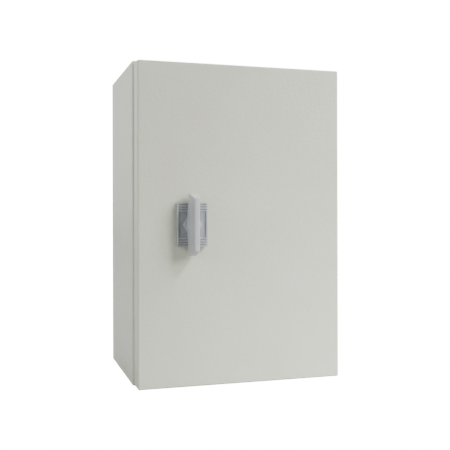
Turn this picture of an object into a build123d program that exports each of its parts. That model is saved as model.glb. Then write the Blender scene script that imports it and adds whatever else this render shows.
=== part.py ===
from build123d import *
import os

# Wall-mounted switchboard cabinet in folded sheet steel: a box-shaped body with a rain channel
# round its mouth, a hinged door with a quarter-turn wing lock, a mounting plate for the
# switchgear and a blank gland plate in the floor.
#
# Millimetres. The origin is the centre of the back face, which lies on the wall. +X is to the
# right as seen from the front, +Z is up and +Y goes into the wall, so the door faces -Y.
# A "depth" is a distance forward of the wall: depth d is the plane y = -d.

# Cabinet
WIDTH = 200.0
HEIGHT = 300.0
DEPTH = 150.0            # overall, with the door shut
SHEET = 1.2              # steel of the body and the door
BEND_R = 1.8             # outer radius of every fold
NEAR = 0.01              # a point this close to a plane lies on it

# Mouth of the body: a flat rim that turns forward into a lip
DOOR_STAND = 20.0        # how far the door's face stands in front of the rim
RIM = 16.0               # from the body's side to the lip's outer face
LIP = 11.0               # how far the lip stands in front of the rim
LIP_CORNER_R = 6.0

# Door
DOOR_FLANGE = 18.0       # depth of the folded edge
DOOR_SIDE_GAP = 1.6      # from the body's side to the door's side
DOOR_END_GAP = 1.5       # the same at top and bottom, before the door drops
DOOR_DROP = 1.3          # how low the door hangs
GASKET_WIDTH = 10.0
GASKET_GAP = 0.3         # between the gasket and the lip's end

# Hinges: a leaf screwed to the rim, a bracket welded inside the door and a pin through both
HINGE_END = 55.0         # from the body's top or bottom to a hinge's middle
PIN_INSET = 4.5          # pin's axis from the door's outer side
PIN_FORWARD = 9.0        # pin's axis in front of the rim
PIN_R = 1.75
PIN_RUNNING = 0.05       # radial clearance of the pin in the door's bracket
KNUCKLE_R = 3.2
KNUCKLE_HALF = 5.5
EAR = 8.0                # height of each ear of the bracket
EAR_GAP = 0.3
BRACKET_BASE = 2.0
LEAF_HEIGHT = 36.0
LEAF_WIDTH = 9.4
LEAF_THICK = 2.0
LEAF_INSET = 8.4         # middle of the leaf from the body's side
LEAF_CORNER_R = 1.5
NOTCH_HALF = 20.0        # the door's flange is cut away this far above and below a hinge
NOTCH_CLEAR = 4.0        # and this far in front of the pin's axis
LEAF_SCREW_SPACING = 25.0
LEAF_SCREW_R = 2.0
LEAF_SCREW_HEAD_R = 4.0
LEAF_SCREW_HEAD = 2.2
LEAF_SCREW_LENGTH = 10.0
SCREW_SOCKET = 2.5       # across the flats
SCREW_SOCKET_DEEP = 1.5
NUT_PLATE_THICK = 2.5
PIN_HEAD_R = 3.0
PIN_HEAD = 1.5
PIN_TAIL = 2.6
CLIP_GROOVE_R = 1.25
CLIP_R = 3.1
CLIP_THICK = 0.7
CLIP_SLOT = 2.4
END_PLAY = 0.1

# Quarter-turn lock
LOCK_INSET = 49.4        # axis from the door's left side
LOCK_WIDTH = 28.5
LOCK_HEIGHT = 40.0
LOCK_THICK = 4.2
LOCK_CORNER_R = 1.0
LOCK_RELIEF = 1.2        # depth of the recess between the ribs
LOCK_RAIL = 1.2          # width of the rail along each side
LOCK_RIB_PITCH = 2.3
LOCK_RIB = 1.1
LOCK_RIBS = 4
LOCK_GASKET = 0.8
LOCK_GASKET_MARGIN = 0.7
BARREL_R = 10.0
BARREL_BEHIND_DOOR = 19.3
DOOR_HOLE_CLEAR = 0.25
LOCK_NUT_FLATS = 27.0
LOCK_NUT = 5.0
SPINDLE_R = 5.0
SPINDLE_RUNNING = 0.05
SPINDLE_SQUARE = 7.0
SPINDLE_SQUARE_LONG = 9.0    # how far the front square goes into the handle
O_RING_DEEP = 1.1
O_RING_WIDE = 1.8
O_RING_FROM_FRONT = 6.0
CIRCLIP_R = 7.5
CIRCLIP = 1.0
CIRCLIP_GROOVE_R = 4.4
CIRCLIP_SLOT = 3.0
CAM_GAP = 1.3            # between the cam and the rim's back
CAM_THICK = 3.0
CAM_OVERLAP = 11.0       # how far the cam reaches behind the rim
CAM_HUB_R = 10.0
CAM_TIP_R = 7.0
CAM_SQUARE_CLEAR = 0.1
CAM_WASHER_R = 8.0
CAM_WASHER = 1.5
CAM_BOLT_R = 3.0
CAM_BOLT_LONG = 12.0
CAM_BOLT_FLATS = 10.0
CAM_BOLT_HEAD = 4.0

# Wing handle, upright when the cam hangs clear of the rim
COLLAR_R = 8.85          # hexagonal collar, across corners over two
COLLAR_FRONT = 2.0       # collar's front in front of the lock's front
COLLAR_CHAMFER = 0.7
WING_FRONT = 17.6        # blade's front edge in front of the lock's front
WING_FOOT_HALF = 28.5    # half length at the foot
WING_TOP_HALF = 23.6     # half length at the front edge
WING_FOOT_THICK = 11.2   # at the middle of the foot
WING_END_THICK = 7.4     # at the ends of the foot
WING_TOP_THICK = 4.4
WING_FILLET = 0.9
HANDLE_CLEAR = 0.3       # handle to lock housing

# Mounting plate on four welded studs
PLATE_MARGIN = 25.0      # from the body's sides to the plate's edges
PLATE_THICK = 2.0
PLATE_CORNER = 12.0      # cut-off corners that leave room for the wall bolts
PLATE_STUD_INSET = 15.0
PLATE_STAND = 12.0       # length of the spacer tubes
SPACER_R = 6.0
SPACER_CLEAR = 0.25
PLATE_STUD_LONG = 24.0

# Fasteners of thread size 6: studs, washers and nuts
M6_R = 3.0
M6_CLEAR = 0.3
M6_WASHER_R = 6.2
M6_WASHER = 1.2
M6_NUT_FLATS = 10.0
M6_NUT = 5.0
NUT_TURNED = 0.8         # how much of a nut's corners is turned off at each end

# Thread size 4, for the gland plate
M4_R = 2.0
M4_CLEAR = 0.25
M4_WASHER_R = 4.5
M4_WASHER = 0.8
M4_NUT_FLATS = 7.0
M4_NUT = 3.2
STUD_CHAMFER = 0.5

# Holes for the wall bolts
WALL_HOLE_R = 4.25
WALL_HOLE_INSET = 20.0

# Gland plate over the cable opening in the floor
GLAND_SIDE_MARGIN = 40.0     # from the body's sides to the opening
GLAND_DEPTH_MARGIN = 35.0    # from the body's back and front to the opening
GLAND_CORNER_R = 4.0
GLAND_OVERLAP = 10.0
GLAND_PLATE = 1.5
GLAND_GASKET = 2.0
GLAND_STUD_LONG = 10.0

# Earthing studs
EARTH_STUD_LONG = 15.0
EARTH_LUG = 0.6          # room for a cable lug between the two washers
EARTH_END = 25.0         # body stud from the floor
EARTH_DEPTH = 60.0       # body stud from the wall
DOOR_EARTH_SIDE = 38.0   # door stud from the door's right side
DOOR_EARTH_END = 38.0    # door stud from the door's bottom

# Planes and places that follow from the sizes
BODY_DEPTH = DEPTH - DOOR_STAND
RIM_BACK = BODY_DEPTH - SHEET
LIP_END = BODY_DEPTH + LIP
MOUTH_W = WIDTH - 2 * (RIM + SHEET)
MOUTH_H = HEIGHT - 2 * (RIM + SHEET)
DOOR_W = WIDTH - 2 * DOOR_SIDE_GAP
DOOR_H = HEIGHT - 2 * DOOR_END_GAP
DOOR_REAR = DEPTH - DOOR_FLANGE
DOOR_INSIDE = DEPTH - SHEET
PIN_X = DOOR_W / 2 - PIN_INSET
PIN_DEPTH = BODY_DEPTH + PIN_FORWARD
HINGE_ZS = [HEIGHT / 2 - HINGE_END, HINGE_END - HEIGHT / 2]
LEAF_X = WIDTH / 2 - LEAF_INSET
LEAF_FRONT = BODY_DEPTH + LEAF_THICK
LEAF_SCREWS = [(LEAF_X, z + side * LEAF_SCREW_SPACING / 2) for z in HINGE_ZS for side in (1, -1)]
LOCK_X = LOCK_INSET - DOOR_W / 2
LOCK_Z = -DOOR_DROP
LOCK_REAR = DEPTH + LOCK_GASKET
LOCK_FRONT = LOCK_REAR + LOCK_THICK
LOCK_FLOOR = LOCK_FRONT - LOCK_RELIEF
BARREL_END = DOOR_INSIDE - BARREL_BEHIND_DOOR
CAM_FRONT = RIM_BACK - CAM_GAP
CAM_REAR = CAM_FRONT - CAM_THICK
CAM_LONG = LOCK_X + MOUTH_W / 2 + CAM_OVERLAP
HANDLE_REAR = LOCK_FLOOR + HANDLE_CLEAR
PLATE_REAR = SHEET + PLATE_STAND
PLATE_FRONT = PLATE_REAR + PLATE_THICK
PLATE_W = WIDTH - 2 * PLATE_MARGIN
PLATE_H = HEIGHT - 2 * PLATE_MARGIN
GLAND_W = WIDTH - 2 * GLAND_SIDE_MARGIN
GLAND_D = BODY_DEPTH - 2 * GLAND_DEPTH_MARGIN
FLOOR = SHEET - HEIGHT / 2


def slab(profile, rear, front):
    """An X-Z profile made solid from one depth to another."""
    return extrude(Plane.XZ.offset(rear) * profile, front - rear)


def column(profile, low, high):
    """An X-Y profile made solid from one height to another."""
    return extrude(Plane.XY.offset(low) * profile, high - low)


def group(solids):
    """Separate solids that share one node."""
    return Part() + solids


def facing_front(places, depth):
    """Locations at X-Z places whose own +Z points to the front."""
    return [Plane((x, -depth, z), x_dir=(1, 0, 0), z_dir=(0, -1, 0)).location for x, z in places]


def corners(spacing_x, spacing_z):
    return [(x * spacing_x / 2, z * spacing_z / 2) for x in (-1, 1) for z in (-1, 1)]


def ring(outer, inner, low, high):
    return column(Circle(outer) - Circle(inner), low, high)


def stud(radius, length):
    rod = column(Circle(radius), 0, length)
    return chamfer(rod.edges().group_by(Axis.Z)[-1], STUD_CHAMFER)


def hexagon(flats, low, high, bore):
    """A hexagonal nut or head whose corners are turned off at both ends."""
    corner_r = flats / 3 ** 0.5
    turned = column(Circle(corner_r), low, high)
    turned = chamfer(turned.edges().filter_by(GeomType.CIRCLE), NUT_TURNED * (corner_r - flats / 2))
    nut = turned & column(RegularPolygon(flats / 2, 6, major_radius=False), low, high)
    if bore:
        nut -= column(Circle(bore), low, high)
    return nut


def c_clip(outer, inner, slot, low, high):
    """A flat retaining ring with an open side."""
    opening = Pos((outer + inner) / 2, 0) * Rectangle(outer + inner, slot)
    return column(Circle(outer) - Circle(inner) - opening, low, high)


# Body

def folded_box(width, height, rear, front, radius):
    box = slab(Rectangle(width, height), rear, front)
    return fillet(box.edges(), radius)


def body_shell():
    shell = folded_box(WIDTH, HEIGHT, 0, BODY_DEPTH, BEND_R)
    shell -= folded_box(WIDTH - 2 * SHEET, HEIGHT - 2 * SHEET, SHEET, RIM_BACK, BEND_R - SHEET)
    mouth = RectangleRounded(MOUTH_W, MOUTH_H, LIP_CORNER_R - SHEET)
    lip = RectangleRounded(MOUTH_W + 2 * SHEET, MOUTH_H + 2 * SHEET, LIP_CORNER_R)
    shell += slab(lip, RIM_BACK, LIP_END)
    shell -= slab(mouth, SHEET + BEND_R, LIP_END)
    for depth, radius in ((BODY_DEPTH, BEND_R - SHEET), (RIM_BACK, BEND_R)):
        line = [e for e in shell.edges() if follows_mouth(e, depth)]
        shell = fillet(line, radius)
    holes = [Pos(*place) * Circle(WALL_HOLE_R) for place in wall_holes()]
    shell -= slab(Sketch() + holes, 0, SHEET)
    screws = [Pos(*place) * Circle(LEAF_SCREW_R + M4_CLEAR) for place in LEAF_SCREWS]
    shell -= slab(Sketch() + screws, RIM_BACK, BODY_DEPTH)
    opening = Pos(0, -BODY_DEPTH / 2) * RectangleRounded(GLAND_W, GLAND_D, GLAND_CORNER_R)
    return shell - column(opening, -HEIGHT / 2, FLOOR)


def follows_mouth(edge, depth):
    """True for an edge on the line where the rim turns into the lip."""
    middle = edge.center()
    near = abs(middle.X) < MOUTH_W / 2 + 2 * SHEET and abs(middle.Z) < MOUTH_H / 2 + 2 * SHEET
    level = all(abs(v.Y + depth) < NEAR for v in edge.vertices())
    return near and level and abs(middle.Y + depth) < NEAR


def wall_holes():
    return corners(WIDTH - 2 * WALL_HOLE_INSET, HEIGHT - 2 * WALL_HOLE_INSET)


# Mounting plate

def plate_places():
    return corners(PLATE_W - 2 * PLATE_STUD_INSET, PLATE_H - 2 * PLATE_STUD_INSET)


def mounting_plate():
    outline = chamfer(Rectangle(PLATE_W, PLATE_H).vertices(), PLATE_CORNER)
    holes = [Pos(*place) * Circle(M6_R + M6_CLEAR) for place in plate_places()]
    return slab(outline - holes, PLATE_REAR, PLATE_FRONT)


def at_plate_studs(piece, depth):
    return group([spot * piece for spot in facing_front(plate_places(), depth)])


# Gland plate

def gland_places():
    return corners(GLAND_W + GLAND_OVERLAP, GLAND_D + GLAND_OVERLAP)


def gland_sheet(low, high, cut_opening):
    """The gland plate or its gasket, lying on the floor round the opening."""
    outline = RectangleRounded(GLAND_W + 2 * GLAND_OVERLAP, GLAND_D + 2 * GLAND_OVERLAP, GLAND_CORNER_R)
    if cut_opening:
        outline -= RectangleRounded(GLAND_W, GLAND_D, GLAND_CORNER_R)
    holes = [Pos(*place) * Circle(M4_R + M4_CLEAR) for place in gland_places()]
    return column(Pos(0, -BODY_DEPTH / 2) * (outline - holes), low, high)


def at_gland_studs(piece, height):
    return group([Pos(x, y - BODY_DEPTH / 2, height) * piece for x, y in gland_places()])


# Hinges

def hinge_leaf(z):
    profile = Pos(LEAF_X, z) * RectangleRounded(LEAF_WIDTH, LEAF_HEIGHT, LEAF_CORNER_R)
    leaf = slab(profile, BODY_DEPTH, LEAF_FRONT)
    knuckle = Pos(PIN_X, -PIN_DEPTH) * Circle(KNUCKLE_R)
    arm_long = PIN_DEPTH - LEAF_FRONT
    knuckle += Pos(PIN_X - KNUCKLE_R / 2, -PIN_DEPTH + arm_long / 2) * Rectangle(KNUCKLE_R, arm_long)
    leaf += column(knuckle, z - KNUCKLE_HALF, z + KNUCKLE_HALF)
    leaf -= column(Pos(PIN_X, -PIN_DEPTH) * Circle(PIN_R), z - KNUCKLE_HALF, z + KNUCKLE_HALF)
    return leaf - [spot * screw_hole() for spot in facing_front(LEAF_SCREWS, LEAF_FRONT)]


def screw_hole():
    hole = column(Circle(LEAF_SCREW_R + M4_CLEAR), -LEAF_SCREW_LENGTH, 0)
    return hole + countersink()


def countersink():
    head = Cone(LEAF_SCREW_R, LEAF_SCREW_HEAD_R, LEAF_SCREW_HEAD)
    return Pos(0, 0, -LEAF_SCREW_HEAD / 2) * head


def leaf_screw():
    screw = column(Circle(LEAF_SCREW_R), -LEAF_SCREW_LENGTH, 0) + countersink()
    return screw - column(RegularPolygon(SCREW_SOCKET / 2, 6, major_radius=False), -SCREW_SOCKET_DEEP, 0)


def nut_plate(z):
    profile = Pos(LEAF_X, z) * RectangleRounded(LEAF_WIDTH, LEAF_HEIGHT, LEAF_CORNER_R)
    holes = [Pos(*place) * Circle(LEAF_SCREW_R) for place in LEAF_SCREWS]
    return slab(profile - holes, RIM_BACK - NUT_PLATE_THICK, RIM_BACK)


def hinge_bracket(z):
    """Two ears on a base that is welded inside the door, one above the knuckle and one below."""
    ear_r = PIN_INSET - SHEET
    deep = DOOR_INSIDE - PIN_DEPTH
    ear = Rectangle(2 * ear_r, deep)
    in_the_fold = ear.vertices().sort_by(Axis.Y)[:2].sort_by(Axis.X)[-1]
    ear = Pos(PIN_X, -PIN_DEPTH - deep / 2) * fillet(in_the_fold, BEND_R - SHEET)
    ear += Pos(PIN_X, -PIN_DEPTH) * Circle(ear_r)
    half = KNUCKLE_HALF + EAR_GAP + EAR
    bracket = column(ear, z - half, z + half)
    gap = Pos(PIN_X, BRACKET_BASE - DOOR_INSIDE + DEPTH / 2) * Rectangle(4 * ear_r, DEPTH)
    bracket -= column(gap, z - KNUCKLE_HALF - EAR_GAP, z + KNUCKLE_HALF + EAR_GAP)
    return bracket - column(Pos(PIN_X, -PIN_DEPTH) * Circle(PIN_R + PIN_RUNNING), z - half, z + half)


def hinge_pin(z):
    half = KNUCKLE_HALF + EAR_GAP + EAR + END_PLAY
    pin = column(Circle(PIN_R), -half - PIN_TAIL, half) + column(Circle(PIN_HEAD_R), half, half + PIN_HEAD)
    pin = chamfer(pin.edges().group_by(Axis.Z)[-1], STUD_CHAMFER)
    pin -= ring(PIN_R, CLIP_GROOVE_R, -half - CLIP_THICK, -half)
    return Pos(PIN_X, -PIN_DEPTH, z) * pin


def hinge_clip(z):
    top = -KNUCKLE_HALF - EAR_GAP - EAR - END_PLAY
    clip = c_clip(CLIP_R, CLIP_GROOVE_R, CLIP_SLOT, top - CLIP_THICK, top)
    return Pos(PIN_X, -PIN_DEPTH, z) * (Rot(0, 0, 180) * clip)


# Door

def door_box(margin, rear, front, radius):
    box = slab(Pos(0, -DOOR_DROP) * Rectangle(DOOR_W - 2 * margin, DOOR_H - 2 * margin), rear, front)
    return fillet([e for e in box.edges() if e.center().Y < -rear - NEAR], radius)


def door_panel():
    door = door_box(0, DOOR_REAR, DEPTH, BEND_R)
    door -= door_box(SHEET, DOOR_REAR, DOOR_INSIDE, BEND_R - SHEET)
    notch = PIN_DEPTH + NOTCH_CLEAR
    for z in HINGE_ZS:
        door -= slab(Pos(DOOR_W / 2, z) * Rectangle(4 * SHEET, 2 * NOTCH_HALF), DOOR_REAR, notch)
    hole = Pos(LOCK_X, LOCK_Z) * Circle(BARREL_R + DOOR_HOLE_CLEAR)
    return door - slab(hole, DOOR_INSIDE, DEPTH)


def door_gasket():
    """A foamed seal that the lip presses into; the lip's line runs along its middle."""
    line_w = MOUTH_W + SHEET
    line_h = MOUTH_H + SHEET
    outer = RectangleRounded(line_w + GASKET_WIDTH, line_h + GASKET_WIDTH, LIP_CORNER_R + GASKET_WIDTH / 2)
    inner = RectangleRounded(line_w - GASKET_WIDTH, line_h - GASKET_WIDTH, SHEET)
    return slab(outer - inner, LIP_END + GASKET_GAP, DOOR_INSIDE)


# Earthing studs

def door_earth(piece):
    x = DOOR_W / 2 - DOOR_EARTH_SIDE
    z = DOOR_EARTH_END - DOOR_H / 2 - DOOR_DROP
    return Plane((x, -DOOR_INSIDE, z), x_dir=(1, 0, 0), z_dir=(0, 1, 0)).location * piece


def body_earth(piece):
    place = (WIDTH / 2 - SHEET, -EARTH_DEPTH, EARTH_END - HEIGHT / 2)
    return Plane(place, x_dir=(0, 0, 1), z_dir=(-1, 0, 0)).location * piece


def earth_pieces():
    """Stud, two washers that pinch a cable lug, and a nut."""
    washers = ring(M6_WASHER_R, M6_R, 0, M6_WASHER)
    washers = group([washers, Pos(0, 0, M6_WASHER + EARTH_LUG) * washers])
    nut_foot = 2 * M6_WASHER + EARTH_LUG
    return stud(M6_R, EARTH_STUD_LONG), washers, hexagon(M6_NUT_FLATS, nut_foot, nut_foot + M6_NUT, M6_R)


# Lock

def at_lock(profile):
    return Pos(LOCK_X, LOCK_Z) * profile


def lock_housing():
    """Ribbed escutcheon and the threaded barrel that passes through the door."""
    plate = slab(at_lock(RectangleRounded(LOCK_WIDTH, LOCK_HEIGHT, LOCK_CORNER_R)), LOCK_REAR, LOCK_FRONT)
    recess = Rectangle(LOCK_WIDTH - 2 * LOCK_RAIL, LOCK_HEIGHT)
    for end in (-1, 1):
        for count in range(LOCK_RIBS):
            z = end * (LOCK_HEIGHT / 2 - LOCK_RIB / 2 - count * LOCK_RIB_PITCH)
            recess -= Pos(0, z) * Rectangle(LOCK_WIDTH, LOCK_RIB)
    housing = plate - slab(at_lock(recess), LOCK_FLOOR, LOCK_FRONT)
    housing += slab(at_lock(Circle(BARREL_R)), BARREL_END, LOCK_REAR)
    return housing - slab(at_lock(Circle(SPINDLE_R + SPINDLE_RUNNING)), BARREL_END, LOCK_FRONT)


def lock_gasket():
    outline = RectangleRounded(
        LOCK_WIDTH - 2 * LOCK_GASKET_MARGIN, LOCK_HEIGHT - 2 * LOCK_GASKET_MARGIN, LOCK_CORNER_R
    )
    return slab(at_lock(outline - Circle(BARREL_R)), DEPTH, LOCK_REAR)


def turned_to_rear(piece, depth):
    """Puts a piece on the lock's axis, with its own +Z pointing into the cabinet."""
    return Plane((LOCK_X, -depth, LOCK_Z), x_dir=(1, 0, 0), z_dir=(0, 1, 0)).location * piece


def spindle():
    front = HANDLE_REAR + SPINDLE_SQUARE_LONG
    shaft = slab(at_lock(Circle(SPINDLE_R)), CAM_FRONT, HANDLE_REAR)
    shaft += slab(at_lock(Rectangle(SPINDLE_SQUARE, SPINDLE_SQUARE)), CAM_REAR, CAM_FRONT)
    shaft += slab(at_lock(Rectangle(SPINDLE_SQUARE, SPINDLE_SQUARE)), HANDLE_REAR, front)
    ring_front = LOCK_FRONT - O_RING_FROM_FRONT
    groove = Circle(SPINDLE_R) - Circle(SPINDLE_R - O_RING_DEEP)
    shaft -= slab(at_lock(groove), ring_front - O_RING_WIDE, ring_front)
    clip_groove = Circle(SPINDLE_R) - Circle(CIRCLIP_GROOVE_R)
    shaft -= slab(at_lock(clip_groove), circlip_rear(), circlip_rear() + CIRCLIP)
    return shaft - slab(at_lock(Circle(CAM_BOLT_R)), CAM_REAR, CAM_REAR + CAM_BOLT_LONG)


def circlip_rear():
    return BARREL_END - END_PLAY - CIRCLIP


def o_ring():
    section = Circle(SPINDLE_R) - Circle(SPINDLE_R - O_RING_DEEP)
    ring_front = LOCK_FRONT - O_RING_FROM_FRONT
    return slab(at_lock(section), ring_front - O_RING_WIDE, ring_front)


def cam():
    """A flat tongue on the spindle's square that hangs down when the lock is open."""
    tip = Pos(0, CAM_TIP_R - CAM_LONG) * Circle(CAM_TIP_R)
    arm = make_hull(Circle(CAM_HUB_R).edges() + tip.edges())
    side = SPINDLE_SQUARE + 2 * CAM_SQUARE_CLEAR
    return slab(at_lock(arm - Rectangle(side, side)), CAM_REAR, CAM_FRONT)


def cam_bolt():
    bolt = column(Circle(CAM_BOLT_R), CAM_WASHER - CAM_BOLT_LONG, CAM_WASHER)
    bolt += hexagon(CAM_BOLT_FLATS, CAM_WASHER, CAM_WASHER + CAM_BOLT_HEAD, 0)
    return turned_to_rear(bolt, CAM_REAR)


def wing_handle():
    """A tapered blade across a hexagonal collar, socketed on the spindle's square."""
    foot = blade_outline(WING_FOOT_THICK, WING_END_THICK, WING_FOOT_HALF)
    top = blade_outline(WING_TOP_THICK, WING_TOP_THICK, WING_TOP_HALF)
    foot_depth = LOCK_FRONT + HANDLE_CLEAR
    top_depth = LOCK_FRONT + WING_FRONT
    sections = [Plane.XZ.offset(foot_depth) * at_lock(foot), Plane.XZ.offset(top_depth) * at_lock(top)]
    blade = loft(sections, ruled=True)
    blade = fillet([e for e in blade.edges() if abs(e.center().Y + top_depth) < NEAR], WING_FILLET)
    collar = slab(at_lock(RegularPolygon(COLLAR_R, 6)), HANDLE_REAR, LOCK_FRONT + COLLAR_FRONT)
    collar = chamfer(collar.faces().sort_by(Axis.Y)[0].edges(), COLLAR_CHAMFER)
    square = at_lock(Rectangle(SPINDLE_SQUARE, SPINDLE_SQUARE))
    return blade + collar - slab(square, HANDLE_REAR, HANDLE_REAR + SPINDLE_SQUARE_LONG)


def blade_outline(middle, ends, half):
    points = [(middle / 2, 0), (ends / 2, half), (-ends / 2, half), (-middle / 2, 0)]
    points += [(-ends / 2, -half), (ends / 2, -half)]
    return Polygon(*points, align=None)


m6_washer = ring(M6_WASHER_R, M6_R, 0, M6_WASHER)
m6_nut = hexagon(M6_NUT_FLATS, 0, M6_NUT, M6_R)
m4_washer = ring(M4_WASHER_R, M4_R, 0, M4_WASHER)
m4_nut = hexagon(M4_NUT_FLATS, 0, M4_NUT, M4_R)
spacer = ring(SPACER_R, M6_R + SPACER_CLEAR, 0, PLATE_STAND)
earth_stud, earth_washers, earth_nut = earth_pieces()
circlip = c_clip(CIRCLIP_R, CIRCLIP_GROOVE_R, CIRCLIP_SLOT, 0, CIRCLIP)
gland_top = FLOOR + GLAND_GASKET + GLAND_PLATE
upper, lower = HINGE_ZS

nodes = {
    "body_shell": body_shell(),
    "plate_studs": at_plate_studs(stud(M6_R, PLATE_STUD_LONG), SHEET),
    "plate_spacers": at_plate_studs(spacer, SHEET),
    "mounting_plate": mounting_plate(),
    "plate_washers": at_plate_studs(m6_washer, PLATE_FRONT),
    "plate_nuts": at_plate_studs(m6_nut, PLATE_FRONT + M6_WASHER),
    "gland_studs": at_gland_studs(stud(M4_R, GLAND_STUD_LONG), FLOOR),
    "gland_gasket": gland_sheet(FLOOR, FLOOR + GLAND_GASKET, True),
    "gland_plate": gland_sheet(FLOOR + GLAND_GASKET, gland_top, False),
    "gland_washers": at_gland_studs(m4_washer, gland_top),
    "gland_nuts": at_gland_studs(m4_nut, gland_top + M4_WASHER),
    "body_earth_stud": body_earth(earth_stud),
    "body_earth_washers": body_earth(earth_washers),
    "body_earth_nut": body_earth(earth_nut),
    "hinge_leaf_upper": hinge_leaf(upper),
    "hinge_leaf_lower": hinge_leaf(lower),
    "hinge_screws": group([spot * leaf_screw() for spot in facing_front(LEAF_SCREWS, LEAF_FRONT)]),
    "hinge_nut_plate_upper": nut_plate(upper),
    "hinge_nut_plate_lower": nut_plate(lower),
    "hinge_pin_upper": hinge_pin(upper),
    "hinge_pin_lower": hinge_pin(lower),
    "hinge_clips": group([hinge_clip(upper), hinge_clip(lower)]),
    "door_panel": door_panel(),
    "door_gasket": door_gasket(),
    "hinge_bracket_upper": hinge_bracket(upper),
    "hinge_bracket_lower": hinge_bracket(lower),
    "door_earth_stud": door_earth(earth_stud),
    "door_earth_washers": door_earth(earth_washers),
    "door_earth_nut": door_earth(earth_nut),
    "lock_housing": lock_housing(),
    "lock_gasket": lock_gasket(),
    "lock_nut": turned_to_rear(hexagon(LOCK_NUT_FLATS, 0, LOCK_NUT, BARREL_R), DOOR_INSIDE),
    "wing_handle": wing_handle(),
    "spindle": spindle(),
    "spindle_o_ring": o_ring(),
    "spindle_circlip": turned_to_rear(circlip, circlip_rear() + CIRCLIP),
    "cam": cam(),
    "cam_washer": turned_to_rear(ring(CAM_WASHER_R, CAM_BOLT_R, 0, CAM_WASHER), CAM_REAR),
    "cam_bolt": cam_bolt(),
}

os.makedirs("parts", exist_ok=True)
for name, shape in nodes.items():
    export_step(shape, f"parts/{name}.step")
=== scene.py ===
from math import radians

import bpy
from mathutils import Matrix, Vector


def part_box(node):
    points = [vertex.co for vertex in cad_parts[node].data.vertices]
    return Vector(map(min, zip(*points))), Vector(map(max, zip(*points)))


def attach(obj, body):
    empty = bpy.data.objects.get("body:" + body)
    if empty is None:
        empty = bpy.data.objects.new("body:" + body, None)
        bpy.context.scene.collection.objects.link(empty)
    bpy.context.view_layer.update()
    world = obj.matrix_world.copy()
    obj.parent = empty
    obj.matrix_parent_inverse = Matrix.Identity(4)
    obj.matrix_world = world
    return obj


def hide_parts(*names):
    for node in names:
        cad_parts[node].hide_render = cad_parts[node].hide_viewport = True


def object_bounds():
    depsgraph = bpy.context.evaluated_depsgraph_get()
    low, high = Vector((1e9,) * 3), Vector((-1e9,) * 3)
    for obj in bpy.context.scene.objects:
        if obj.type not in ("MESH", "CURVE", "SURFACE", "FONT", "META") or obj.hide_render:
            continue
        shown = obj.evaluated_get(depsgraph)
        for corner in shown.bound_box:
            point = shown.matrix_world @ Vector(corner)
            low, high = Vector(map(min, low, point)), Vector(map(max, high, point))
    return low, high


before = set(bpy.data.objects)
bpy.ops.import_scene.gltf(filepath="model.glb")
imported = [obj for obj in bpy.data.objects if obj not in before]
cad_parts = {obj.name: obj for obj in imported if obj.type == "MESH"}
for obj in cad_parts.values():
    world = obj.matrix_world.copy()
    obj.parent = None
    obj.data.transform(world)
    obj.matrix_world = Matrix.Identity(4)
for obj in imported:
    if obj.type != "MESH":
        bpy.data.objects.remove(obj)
cad_box = [[float(v) for v in corner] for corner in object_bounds()]
bpy.ops.object.select_all(action="DESELECT")
MM = 0.001


# The camera stands a little to the cabinet's left, level, at the height of the lock. Its lens is
# shifted instead of tilted, so that the cabinet's uprights stay parallel.
CAMERA_PLACE = (-210.3 * MM, -791.5 * MM, 9.1 * MM)
CAMERA_YAW, CAMERA_ROLL = radians(-16.79), radians(-0.14)
SENSOR, LENS, LENS_SHIFT = 36.0, 57.88, -0.0264

camera_data = bpy.data.cameras.new("camera")
camera_data.sensor_width, camera_data.lens, camera_data.shift_y = SENSOR, LENS, LENS_SHIFT
camera = bpy.data.objects.new("camera", camera_data)
bpy.context.scene.collection.objects.link(camera)
camera.matrix_world = (
    Matrix.Translation(CAMERA_PLACE)
    @ Matrix.Rotation(CAMERA_YAW, 4, "Z")
    @ Matrix.Rotation(radians(90), 4, "X")
    @ Matrix.Rotation(CAMERA_ROLL, 4, "Z")
)
bpy.context.scene.camera = camera


# The studio: a white sweep that glows behind the cabinet, with the dark room in front of it. A
# soft key light stands on the right, a weaker one on the left and one overhead on the right. Two
# behind graze the cabinet's left side and its top, and a spot brightens the foot of the door.
def linear(code):
    """An sRGB hex colour as the linear values that a shader takes."""
    values = [int(code[i:i + 2], 16) / 255 for i in (1, 3, 5)]
    return [v / 12.92 if v <= 0.04045 else ((v + 0.055) / 1.055) ** 2.4 for v in values] + [1.0]


def add_node(tree, kind, **settings):
    """Adds a node. Each setting is a property or an input, by name; a socket given is linked."""
    node = tree.nodes.new("ShaderNode" + kind)
    for name, value in settings.items():
        if name in node.bl_rna.properties:
            setattr(node, name, value)
            continue
        socket = next(s for s in node.inputs if s.enabled and s.name.replace(" ", "_") == name)
        if isinstance(value, bpy.types.NodeSocket):
            tree.links.new(value, socket)
        else:
            socket.default_value = value
    return node


def new_finish(name, colour, roughness, metallic=0.0):
    """A new material with its node tree and shader, evenly coloured so far."""
    material = bpy.data.materials.new(name)
    material.use_nodes = True
    shader = material.node_tree.nodes["Principled BSDF"]
    shader.inputs["Base Color"].default_value = linear(colour)
    shader.inputs["Roughness"].default_value = roughness
    shader.inputs["Metallic"].default_value = metallic
    return material, material.node_tree, shader


def aim_at(light, place, aim):
    towards = Vector(aim) - Vector(place)
    light.matrix_world = Matrix.Translation(place) @ towards.to_track_quat("-Z", "Y").to_matrix().to_4x4()


def area_light(name, place, aim, size, power, colour):
    data = bpy.data.lights.new(name, "AREA")
    data.shape = "RECTANGLE"
    data.size, data.size_y = size
    data.energy = power
    data.color = linear(colour)[:3]
    light = bpy.data.objects.new(name, data)
    bpy.context.scene.collection.objects.link(light)
    aim_at(light, place, aim)


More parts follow.
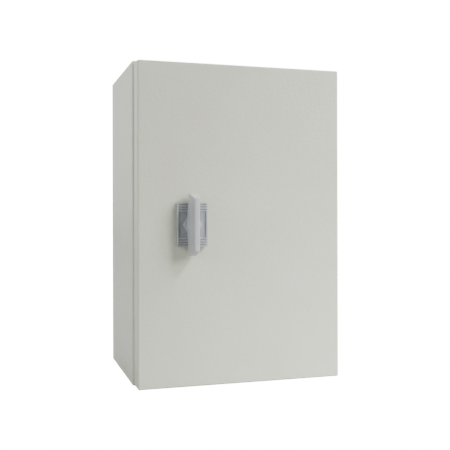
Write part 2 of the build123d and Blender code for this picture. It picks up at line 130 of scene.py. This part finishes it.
area_light("key_light", (1.0, -1.2, 0.6), (0, -0.15, 0), (0.6, 0.6), 23.5, "#FFFDF6")
area_light("left_light", (-1.5, -0.95, 0.6), (0, -0.15, 0), (0.9, 0.7), 16.5, "#FFFDF6")
area_light("side_light", (-1.5, 0.9, 0.8), (0, -0.05, 0.05), (0.9, 0.9), 8, "#EFEDFF")
area_light("top_light", (0.65, -0.25, 1.05), (0.1, -0.1, 0.1), (0.8, 0.8), 26, "#FFFFFF")
area_light("back_light", (0.5, 1.3, 0.9), (0, -0.1, 0.1), (1.2, 0.6), 60, "#FFFFFF")

SPOT_POWER, SPOT_CONE, SPOT_SOFT = 270, radians(20), 0.2
spot = bpy.data.lights.new("low_spot", "SPOT")
spot.energy, spot.color = SPOT_POWER, linear("#FFFFFF")[:3]
spot.spot_size, spot.spot_blend, spot.shadow_soft_size = SPOT_CONE, 1.0, SPOT_SOFT
lamp = bpy.data.objects.new("low_spot", spot)
bpy.context.scene.collection.objects.link(lamp)
aim_at(lamp, (0.7, -1.1, 0.9), (0.06, -0.15, -0.33))

ROOM_LEVEL, BACKDROP_LEVEL, PAPER_LEVEL = 0.06, 1.65, 17.0
GLOW_START, GLOW_FULL = -0.1, 0.6      # share of the view direction that points away from the viewer
PAPER_SIZE = 40.0
world = bpy.data.worlds.new("studio")
world.use_nodes = True
tree = world.node_tree
way = add_node(tree, "SeparateXYZ", Vector=add_node(tree, "TexCoord").outputs["Generated"])
glow = add_node(
    tree, "MapRange", Value=way.outputs["Y"], From_Min=GLOW_START, From_Max=GLOW_FULL,
    To_Min=ROOM_LEVEL, To_Max=BACKDROP_LEVEL,
)
ray = add_node(tree, "LightPath")
level = add_node(
    tree, "MapRange", Value=ray.outputs["Is Camera Ray"], To_Min=glow.outputs["Result"], To_Max=PAPER_LEVEL
)
tree.links.new(level.outputs["Result"], tree.nodes["Background"].inputs["Strength"])
tree.nodes["Background"].inputs["Color"].default_value = linear("#FFFFFF")
bpy.context.scene.world = world

bpy.ops.mesh.primitive_plane_add(size=PAPER_SIZE, location=(0, 0, cad_box[0][2]))
floor = bpy.context.object
floor.name = "paper_floor"
paper, tree, shader = new_finish("white_paper", "#80807E", 0.95)
ray = add_node(tree, "LightPath")
level = add_node(tree, "MapRange", Value=ray.outputs["Is Camera Ray"], To_Min=0.0, To_Max=PAPER_LEVEL)
shader.inputs["Emission Color"].default_value = linear("#FFFFFF")
tree.links.new(level.outputs["Result"], shader.inputs["Emission Strength"])
floor.data.materials.append(paper)
bpy.ops.object.select_all(action="DESELECT")


# Body and door: folded and welded sheet steel, 1.2 mm, in an oven-cured polyester powder coat.
# Light grey, half matt, with the faint orange peel of sprayed powder and a slight cloudiness.
PEEL_SIZE, CLOUD_SIZE, PEEL_DEPTH = 2.6 * MM, 45 * MM, 0.22 * MM
PEEL_SHARE = 0.35        # of the colour; the rest follows the clouds


def noise(tree, size, detail):
    """Noise that goes with the object, its features about one size across."""
    place = add_node(tree, "TexCoord").outputs["Object"]
    return add_node(tree, "TexNoise", Vector=place, Scale=1 / size, Detail=detail).outputs["Fac"]


def two_tone(tree, shader, value, dark, light, start=0.0, end=1.0):
    """Colours a finish from dark to light as a value runs from start to end."""
    ramp = add_node(tree, "ValToRGB", Fac=value)
    for element, position, colour in zip(ramp.color_ramp.elements, (start, end), (dark, light)):
        element.position, element.color = position, linear(colour)
    tree.links.new(ramp.outputs["Color"], shader.inputs["Base Color"])


def vary_gloss(tree, shader, value, smooth, rough):
    """Spreads a finish's roughness between two levels as a value runs from 0 to 1."""
    spread = add_node(tree, "MapRange", Value=value, To_Min=smooth, To_Max=rough)
    tree.links.new(spread.outputs["Result"], shader.inputs["Roughness"])


def relief(tree, shader, height, strength, depth):
    bump = add_node(tree, "Bump", Height=height, Strength=strength, Distance=depth)
    tree.links.new(bump.outputs["Normal"], shader.inputs["Normal"])


powder_coat, tree, shader = new_finish("powder_coat_light_grey", "#CDD1C2", 0.4)
peel = noise(tree, PEEL_SIZE, 2.0)
cloud = noise(tree, CLOUD_SIZE, 3.0)
both = add_node(tree, "Mix", data_type="FLOAT", A=cloud, B=peel, Factor=PEEL_SHARE)
two_tone(tree, shader, both.outputs["Result"], "#CACEBE", "#D0D4C6", 0.3, 0.7)
vary_gloss(tree, shader, peel, 0.34, 0.48)
relief(tree, shader, peel, 0.7, PEEL_DEPTH)


def coat(name, finish):
    """Gives a carried-over node its finish."""
    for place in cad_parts[name].material_slots:
        place.material = finish


for name in ("body_shell", "door_panel"):
    coat(name, powder_coat)


# Mounting plate and gland plate: sheet cut from hot-dip galvanised coil. The zinc froze in
# flat crystals some millimetres across, each a slightly different grey.
SPANGLE_SIZE = 6 * MM
SPANGLE_WARP = 0.006

galvanised, tree, shader = new_finish("galvanised_sheet", "#B9BEC1", 0.42, metallic=1.0)
place = add_node(tree, "TexCoord").outputs["Object"]
drift = add_node(tree, "TexNoise", Vector=place, Scale=1 / (2 * SPANGLE_SIZE), Detail=2.0)
warped = add_node(tree, "MixRGB", Fac=SPANGLE_WARP, Color1=place, Color2=drift.outputs["Color"])
crystal = add_node(tree, "TexVoronoi", Vector=warped.outputs["Color"], Scale=1 / SPANGLE_SIZE)
grey = add_node(tree, "SeparateColor", Color=crystal.outputs["Color"])
two_tone(tree, shader, grey.outputs["Red"], "#A3A9AD", "#C3C8CA")
vary_gloss(tree, shader, grey.outputs["Green"], 0.32, 0.5)
for name in ("mounting_plate", "gland_plate"):
    coat(name, galvanised)


# Nuts, washers, hinge hardware and cam: stamped or turned steel, electroplated with zinc and
# blue-passivated, so bright, a little cool and faintly cloudy.
HAZE_SIZE = 3 * MM

zinc, tree, shader = new_finish("blue_zinc_plate", "#C6CBCF", 0.3, metallic=1.0)
haze = noise(tree, HAZE_SIZE, 4.0)
two_tone(tree, shader, haze, "#BCC1C5", "#CFD1D0", 0.3, 0.7)
vary_gloss(tree, shader, haze, 0.26, 0.38)

WELD = 0.001 * MM        # corners this close are one
FLAT = radians(0.5)      # faces that turn less than this are one
NEAR = 0.1 * MM          # a point this close to a plane lies on it
SHARP = radians(35)      # an edge that turns more than this is sharp


def pick(piece, kind, wanted):
    """Opens a piece for editing with only the FACEs, EDGEs or VERTs selected whose corners pass."""
    bpy.context.view_layer.objects.active = piece
    bpy.ops.object.mode_set(mode="EDIT")
    bpy.ops.mesh.select_mode(type=kind)
    bpy.ops.mesh.select_all(action="DESELECT")
    bpy.ops.object.mode_set(mode="OBJECT")
    mesh = piece.data
    for thing in {"VERT": mesh.vertices, "EDGE": mesh.edges, "FACE": mesh.polygons}[kind]:
        points = [thing.index] if kind == "VERT" else thing.vertices
        thing.select = wanted([mesh.vertices[point].co for point in points])
    bpy.ops.object.mode_set(mode="EDIT")


def everything(points):
    return True


def close(piece):
    """Leaves edit mode, with every face turned outwards."""
    pick(piece, "FACE", everything)
    bpy.ops.mesh.normals_make_consistent(inside=False)
    bpy.ops.object.mode_set(mode="OBJECT")


def apply(piece, kind, **settings):
    """Puts a modifier on a piece and applies it."""
    bpy.context.view_layer.objects.active = piece
    modifier = piece.modifiers.new(kind.lower(), kind)
    for name, value in settings.items():
        setattr(modifier, name, value)
    bpy.ops.object.modifier_apply(modifier=modifier.name)


def join(pieces):
    bpy.ops.object.select_all(action="DESELECT")
    for piece in pieces:
        piece.select_set(True)
    bpy.context.view_layer.objects.active = pieces[0]
    bpy.ops.object.join()
    return pieces[0]


def finished(piece, name, finish, body, slot, *nodes):
    """Names and smooths a piece, gives it its finish and lets it stand for its nodes."""
    bpy.ops.object.select_all(action="DESELECT")
    bpy.context.view_layer.objects.active = piece
    piece.select_set(True)
    bpy.ops.object.shade_smooth_by_angle(angle=SHARP)
    apply(piece, "WEIGHTED_NORMAL", keep_sharp=True)
    piece.select_set(False)
    piece.name = piece.data.name = name
    piece.data.materials.clear()
    piece.data.materials.append(finish)
    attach(piece, body)
    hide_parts(*nodes)


def eased_copy(name, ease):
    """A closed copy of a carried-over node, its edges broken by a small round."""
    piece = bpy.data.objects.new(name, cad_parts[name].data.copy())
    bpy.context.scene.collection.objects.link(piece)
    pick(piece, "VERT", everything)
    bpy.ops.mesh.remove_doubles(threshold=WELD)
    bpy.ops.mesh.dissolve_limited(angle_limit=FLAT)
    close(piece)
    apply(piece, "BEVEL", width=ease, segments=2, limit_method="ANGLE", angle_limit=SHARP)
    return piece


STAMPED_EASE = 0.2 * MM
zinc_pieces = {
    "cabinet": (
        "plate_washers", "plate_nuts", "gland_washers", "gland_nuts", "body_earth_washers",
        "body_earth_nut", "hinge_leaf_upper", "hinge_leaf_lower", "hinge_screws",
        "hinge_nut_plate_upper", "hinge_nut_plate_lower",
    ),
    "door": (
        "hinge_bracket_upper", "hinge_bracket_lower", "door_earth_washers", "door_earth_nut", "lock_nut",
    ),
    "latch": ("cam", "cam_washer", "cam_bolt"),
}
for body, names in zinc_pieces.items():
    for name in names:
        finished(eased_copy(name, STAMPED_EASE), name + "_plated", zinc, body, "zinc_plated", name)


# Threaded studs: steel pins, copper-flashed against rust, shot onto the inside of the body, the
# floor and the door by a welding gun. Their rolled threads are modelled turn by turn.
TARNISH_SIZE = 2 * MM

copper, tree, shader = new_finish("copper_flashed_steel", "#B08D7A", 0.35, metallic=1.0)
tarnish = noise(tree, TARNISH_SIZE, 3.0)
two_tone(tree, shader, tarnish, "#96776A", "#BA9A88", 0.35, 0.65)
vary_gloss(tree, shader, tarnish, 0.28, 0.5)

THREAD_STEPS = 24
THREAD_DEPTH = 0.61      # share of the pitch
THREAD_WELD = 0.01 * MM
SPARE_TURNS = 3          # cut off again at both ends
TIP_SHARE = 0.88         # radius of the free end as a share of the rod's


def threaded_rod(radius, pitch, length):
    """A rod with a V thread, standing on the origin along +Z, its free end tapered."""
    deep = THREAD_DEPTH * pitch
    bpy.ops.mesh.primitive_circle_add(vertices=4, radius=1, rotation=(radians(90), 0, 0))
    rod = bpy.context.object
    bpy.ops.object.transform_apply()
    pick(rod, "VERT", lambda points: points[0].x < -0.5)
    bpy.ops.mesh.delete(type="VERT")
    pick(rod, "VERT", everything)
    bpy.ops.transform.resize(value=(deep, 1, pitch / 2), center_override=(0, 0, 0))
    bpy.ops.transform.translate(value=(radius - deep, 0, -pitch))
    bpy.ops.object.mode_set(mode="OBJECT")
    apply(
        rod, "SCREW", axis="Z", screw_offset=pitch, iterations=int(length / pitch) + SPARE_TURNS,
        steps=THREAD_STEPS, render_steps=THREAD_STEPS, use_merge_vertices=True, merge_threshold=THREAD_WELD,
    )
    for height, side in ((0, -1), (length, 1)):
        pick(rod, "FACE", everything)
        bpy.ops.mesh.bisect(
            plane_co=(0, 0, height), plane_no=(0, 0, side), use_fill=True, clear_outer=True
        )
        bpy.ops.object.mode_set(mode="OBJECT")
    pick(rod, "VERT", lambda points: points[0].z > length - pitch / 2)
    bpy.ops.transform.resize(value=(TIP_SHARE, TIP_SHARE, 1), center_override=(0, 0, length))
    close(rod)
    return rod


def placed_copies(master, places):
    """Copies of one piece, each turned and moved by its matrix, as a single piece."""
    copies = []
    for place in places:
        twin = bpy.data.objects.new(master.name, master.data.copy())
        twin.data.transform(place)
        bpy.context.scene.collection.objects.link(twin)
        copies.append(twin)
    bpy.data.objects.remove(master)
    return join(copies)


TO_FRONT = Matrix.Rotation(radians(90), 4, "X")
TO_REAR = Matrix.Rotation(radians(-90), 4, "X")
TO_LEFT = Matrix.Rotation(radians(-90), 4, "Y")
M6_RADIUS, M6_PITCH = 3.0 * MM, 1.0 * MM
M4_RADIUS, M4_PITCH = 2.0 * MM, 0.7 * MM

low, high = (Vector(corner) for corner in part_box("plate_studs"))
places = [
    Matrix.Translation((x, high.y, z)) @ TO_FRONT
    for x in (low.x + M6_RADIUS, high.x - M6_RADIUS) for z in (low.z + M6_RADIUS, high.z - M6_RADIUS)
]
rods = placed_copies(threaded_rod(M6_RADIUS, M6_PITCH, high.y - low.y), places)
finished(rods, "plate_studs_threaded", copper, "cabinet", "copper_plated", "plate_studs")

low, high = (Vector(corner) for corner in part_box("gland_studs"))
places = [
    Matrix.Translation((x, y, low.z))
    for x in (low.x + M4_RADIUS, high.x - M4_RADIUS) for y in (low.y + M4_RADIUS, high.y - M4_RADIUS)
]
rods = placed_copies(threaded_rod(M4_RADIUS, M4_PITCH, high.z - low.z), places)
finished(rods, "gland_studs_threaded", copper, "cabinet", "copper_plated", "gland_studs")

low, high = (Vector(corner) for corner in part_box("body_earth_stud"))
place = Matrix.Translation((high.x, (low.y + high.y) / 2, (low.z + high.z) / 2)) @ TO_LEFT
rods = placed_copies(threaded_rod(M6_RADIUS, M6_PITCH, high.x - low.x), [place])
finished(rods, "body_earth_stud_threaded", copper, "cabinet", "copper_plated", "body_earth_stud")

low, high = (Vector(corner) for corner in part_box("door_earth_stud"))
place = Matrix.Translation(((low.x + high.x) / 2, low.y, (low.z + high.z) / 2)) @ TO_REAR
rods = placed_copies(threaded_rod(M6_RADIUS, M6_PITCH, high.y - low.y), [place])
finished(rods, "door_earth_stud_threaded", copper, "door", "copper_plated", "door_earth_stud")


# Spacers behind the mounting plate: short tubes moulded in undyed nylon, milky and a little
# see-through at their edges, slipped over the studs.
FLOW_SIZE, GLOW_DEPTH, SPACER_EASE = 4 * MM, 1.5 * MM, 0.3 * MM

nylon, tree, shader = new_finish("natural_nylon", "#DED9CB", 0.45)
shader.inputs["Subsurface Weight"].default_value = 0.2
shader.inputs["Subsurface Scale"].default_value = GLOW_DEPTH
two_tone(tree, shader, noise(tree, FLOW_SIZE, 2.0), "#D6D0C0", "#E5E1D5")
spacers = eased_copy("plate_spacers", SPACER_EASE)
finished(spacers, "plate_spacers_moulded", nylon, "cabinet", "spacer_nylon", "plate_spacers")


# Door seal: polyurethane foamed in place along the inside of the door. It cures to a soft,
# dark grey, crowned bead with a matt skin that shows its closed cells.
CELL_SIZE, CELL_DEPTH, SKIN_SIZE = 0.9 * MM, 0.2 * MM, 12 * MM

foam, tree, shader = new_finish("foamed_polyurethane", "#38393A", 0.85)
place = add_node(tree, "TexCoord").outputs["Object"]
cells = add_node(tree, "TexVoronoi", Vector=place, Scale=1 / CELL_SIZE)
two_tone(tree, shader, noise(tree, SKIN_SIZE, 2.0), "#2F3031", "#434445")
relief(tree, shader, cells.outputs["Distance"], 0.4, CELL_DEPTH)

SEAL_WIDTH, SEAL_CORNER, SEAL_CROWN = 10 * MM, 11 * MM, 3.2 * MM
low, high = (Vector(corner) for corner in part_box("door_gasket"))
middle = (low + high) / 2
bpy.ops.mesh.primitive_plane_add(size=1, location=(middle.x, low.y, middle.z), rotation=(radians(-90), 0, 0))
seal = bpy.context.object
seal.scale = (high.x - low.x, high.z - low.z, 1)
bpy.ops.object.transform_apply()
pick(seal, "VERT", everything)
bpy.ops.mesh.bevel(offset=SEAL_CORNER, segments=8, affect="VERTICES")
pick(seal, "FACE", everything)
bpy.ops.mesh.inset(thickness=SEAL_WIDTH)
bpy.ops.mesh.delete(type="FACE")
bpy.ops.object.mode_set(mode="OBJECT")
apply(seal, "SOLIDIFY", thickness=high.y - low.y, offset=1.0)
pick(seal, "FACE", lambda points: all(point.y > high.y - NEAR for point in points))
bpy.ops.mesh.region_to_loop()
bpy.ops.mesh.bevel(offset=SEAL_CROWN, segments=5, affect="EDGES")
close(seal)
finished(seal, "door_seal_foamed", foam, "door", "door_seal", "door_gasket")


# Flat seals under the gland plate and the lock, and the spindle's O-ring: EPDM rubber, cut from
# sheet or moulded, matt black with a faint bloom.
BLOOM_SIZE = 5 * MM

rubber, tree, shader = new_finish("epdm_rubber", "#232425", 0.7)
two_tone(tree, shader, noise(tree, BLOOM_SIZE, 4.0), "#1E1F20", "#2C2D2E")
for name in ("gland_gasket", "lock_gasket", "spindle_o_ring"):
    coat(name, rubber)


# Hinge pins and the lock's spindle: steel turned on a lathe and zinc plated, so that fine rings
# run round each of them. The rings are drawn coarser than real ones, to show at all.
RING_SIZE, RING_DEPTH, TURNED_EASE = 0.6 * MM, 0.02 * MM, 0.1 * MM


def turned_steel(name, axis):
    """Steel whose rings lie across the axis that it turned about."""
    finish, tree, shader = new_finish(name, "#C3C5C6", 0.3, metallic=1.0)
    place = add_node(tree, "SeparateXYZ", Vector=add_node(tree, "TexCoord").outputs["Object"])
    rings = add_node(
        tree, "TexNoise", noise_dimensions="1D", W=place.outputs[axis], Scale=1 / RING_SIZE, Detail=1.0
    )
    vary_gloss(tree, shader, rings.outputs["Fac"], 0.22, 0.38)
    relief(tree, shader, rings.outputs["Fac"], 0.3, RING_DEPTH)
    return finish


upright, level = turned_steel("turned_steel_upright", "Z"), turned_steel("turned_steel_level", "Y")
for name, finish, body in (
    ("hinge_pin_upper", upright, "cabinet"),
    ("hinge_pin_lower", upright, "cabinet"),
    ("spindle", level, "latch"),
):
    finished(eased_copy(name, TURNED_EASE), name + "_turned", finish, body, "spindle_steel", name)


# Clips on the pins and the spindle: stamped from spring steel and snapped on, phosphated and
# oiled against rust, which leaves them dark grey.
CRYSTAL_SIZE, CLIP_EASE = 0.5 * MM, 0.08 * MM

spring, tree, shader = new_finish("phosphated_spring_steel", "#3B3A38", 0.5, metallic=0.7)
vary_gloss(tree, shader, noise(tree, CRYSTAL_SIZE, 2.0), 0.4, 0.65)
for name, body in (("hinge_clips", "cabinet"), ("spindle_circlip", "latch")):
    finished(eased_copy(name, CLIP_EASE), name + "_stamped", spring, body, "spring_steel", name)


# Lock housing: a ribbed escutcheon and its threaded barrel, moulded in one piece in mid-grey
# glass-filled nylon. Two rails and the outermost ribs frame a sunk panel. Everything that stands
# proud of the panel carries a painted highlight: it is coloured paler, as if it caught more light
# than the sunk panel beside it.
CLOUDING_SIZE, GRAIN_SIZE, GRAIN_DEPTH = 8 * MM, 0.45 * MM, 0.05 * MM


def moulded_nylon(name, dark, light):
    """Spark-eroded grain, drawn a little coarser than real, over slightly clouded plastic."""
    finish, tree, shader = new_finish(name, light, 0.35)
    shader.inputs["Specular IOR Level"].default_value = 0.7
    two_tone(tree, shader, noise(tree, CLOUDING_SIZE, 3.0), dark, light, 0.3, 0.7)
    grain = noise(tree, GRAIN_SIZE, 1.0)
    vary_gloss(tree, shader, grain, 0.28, 0.42)
    relief(tree, shader, grain, 0.3, GRAIN_DEPTH)
    return finish


def paint_proud_highlight(finish, highlight_colour, front, deep):
    """Paints a highlight: makes a moulding paler where it lies less than a given depth behind its front."""
    tree = finish.node_tree
    shader = tree.nodes["Principled BSDF"]
    place = add_node(tree, "SeparateXYZ", Vector=add_node(tree, "TexCoord").outputs["Object"])
    proud = add_node(
        tree, "MapRange", Value=place.outputs["Y"], From_Min=front + deep, From_Max=front + deep / 2
    )
    moulded = shader.inputs["Base Color"].links[0].from_socket
    # Painted highlight: a paler colour mixed over the moulded one where the moulding stands proud.
    highlit = add_node(tree, "MixRGB", Fac=proud.outputs["Result"], Color1=moulded, Color2=linear(highlight_colour))
    tree.links.new(highlit.outputs["Color"], shader.inputs["Base Color"])


mid_grey_nylon = moulded_nylon("mid_grey_glass_filled_nylon", "#91979E", "#9AA0A6")

ESCUTCHEON_THICK, ESCUTCHEON_CORNER = 4.2 * MM, 1.0 * MM
RAIL, RECESS, RIB, RIB_PITCH, RIBS = 1.2 * MM, 1.2 * MM, 1.1 * MM, 2.3 * MM, 4
BARREL_RADIUS, BARREL_PITCH = 10 * MM, 1.5 * MM
MOULDED_EASE = 0.2 * MM

low, high = (Vector(corner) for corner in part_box("lock_housing"))
middle = (low + high) / 2
rear = low.y + ESCUTCHEON_THICK
# Painted highlight on the rails and ribs that stand proud of the sunk panel.
paint_proud_highlight(mid_grey_nylon, "#B2B6B9", low.y, RECESS / 2)
bpy.ops.mesh.primitive_cube_add(
    size=1, location=(middle.x, low.y + ESCUTCHEON_THICK / 2, middle.z),
    scale=(high.x - low.x, ESCUTCHEON_THICK, high.z - low.z),
)
escutcheon = bpy.context.object
bpy.ops.object.transform_apply()
pick(escutcheon, "EDGE", lambda points: abs(points[0].y - points[1].y) > MM)
bpy.ops.mesh.bevel(offset=ESCUTCHEON_CORNER, segments=4, affect="EDGES")
pick(escutcheon, "FACE", lambda points: all(point.y < low.y + NEAR for point in points))
bpy.ops.mesh.inset(thickness=RAIL)
bpy.ops.mesh.extrude_region_move(TRANSFORM_OT_translate={"value": (0, RECESS, 0)})
close(escutcheon)
apply(escutcheon, "BEVEL", width=MOULDED_EASE, segments=2, limit_method="ANGLE", angle_limit=SHARP)

bpy.ops.mesh.primitive_cube_add(
    size=1, location=(middle.x, low.y + (RECESS + MOULDED_EASE) / 2, high.z - RIB / 2),
    scale=(high.x - low.x - 2 * RAIL + 2 * MOULDED_EASE, RECESS + MOULDED_EASE, RIB),
)
rib = bpy.context.object
bpy.ops.object.transform_apply()
apply(rib, "BEVEL", width=MOULDED_EASE, segments=2, limit_method="ANGLE", angle_limit=SHARP)
steps = [count * RIB_PITCH for count in range(1, RIBS)]
span = high.z - low.z - RIB
steps += [span - step for step in steps]
ribs = placed_copies(rib, [Matrix.Translation((0, 0, -step)) for step in steps])
barrel = placed_copies(
    threaded_rod(BARREL_RADIUS, BARREL_PITCH, high.y - rear),
    [Matrix.Translation((middle.x, rear, middle.z)) @ TO_REAR],
)
housing = join([escutcheon, ribs, barrel])
finished(housing, "lock_housing_moulded", mid_grey_nylon, "door", "lock_moulding", "lock_housing")


# Wing handle: light grey glass-filled nylon, moulded in one piece. A blade that tapers to its
# front edge stands across a hexagonal collar, pressed onto the spindle's square.
light_grey_nylon = moulded_nylon("light_grey_glass_filled_nylon", "#AFB4BB", "#B6BBC2")

COLLAR_RADIUS, COLLAR_FRONT, COLLAR_EASE = 8.85 * MM, 2.0 * MM, 0.1 * MM
FOOT_GAP = 0.3 * MM
FOOT_THICK, FOOT_END_THICK, TOP_THICK = 11.2 * MM, 7.4 * MM, 4.4 * MM
TOP_HALF = 23.6 * MM
BLADE_EASE, TOP_EASE, BLADE_SHARP = 0.5 * MM, 0.9 * MM, radians(50)

housing_front = low.y
low, high = (Vector(corner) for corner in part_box("wing_handle"))
middle = (low + high) / 2
foot = housing_front - FOOT_GAP
bpy.ops.mesh.primitive_cube_add(
    size=1, location=(middle.x, (low.y + foot) / 2, middle.z),
    scale=(FOOT_END_THICK, foot - low.y, high.z - low.z),
)
blade = bpy.context.object
bpy.ops.object.transform_apply()
pick(blade, "FACE", everything)
bpy.ops.mesh.bisect(plane_co=middle, plane_no=(0, 0, 1))
pick(blade, "VERT", lambda points: points[0].y > middle.y and abs(points[0].z - middle.z) < MM)
bpy.ops.transform.resize(value=(FOOT_THICK / FOOT_END_THICK, 1, 1), center_override=middle)
pick(blade, "VERT", lambda points: points[0].y < middle.y)
foot_half = (high.z - low.z) / 2
bpy.ops.transform.resize(value=(TOP_THICK / FOOT_END_THICK, 1, TOP_HALF / foot_half), center_override=middle)
pick(blade, "FACE", lambda points: all(point.y < low.y + NEAR for point in points))
bpy.ops.mesh.region_to_loop()
bpy.ops.mesh.bevel(offset=TOP_EASE, segments=4, affect="EDGES")
close(blade)
apply(blade, "BEVEL", width=BLADE_EASE, segments=3, limit_method="ANGLE", angle_limit=BLADE_SHARP)

bpy.ops.mesh.primitive_cylinder_add(
    vertices=6, radius=COLLAR_RADIUS, depth=high.y - housing_front + COLLAR_FRONT,
    location=(middle.x, (high.y + housing_front - COLLAR_FRONT) / 2, middle.z),
    rotation=(radians(90), radians(30), 0),
)
collar = bpy.context.object
bpy.ops.object.transform_apply()
close(collar)
apply(collar, "BEVEL", width=COLLAR_EASE, segments=2, limit_method="ANGLE", angle_limit=SHARP)
handle = join([blade, collar])
finished(handle, "wing_handle_moulded", light_grey_nylon, "latch", "handle_moulding", "wing_handle")
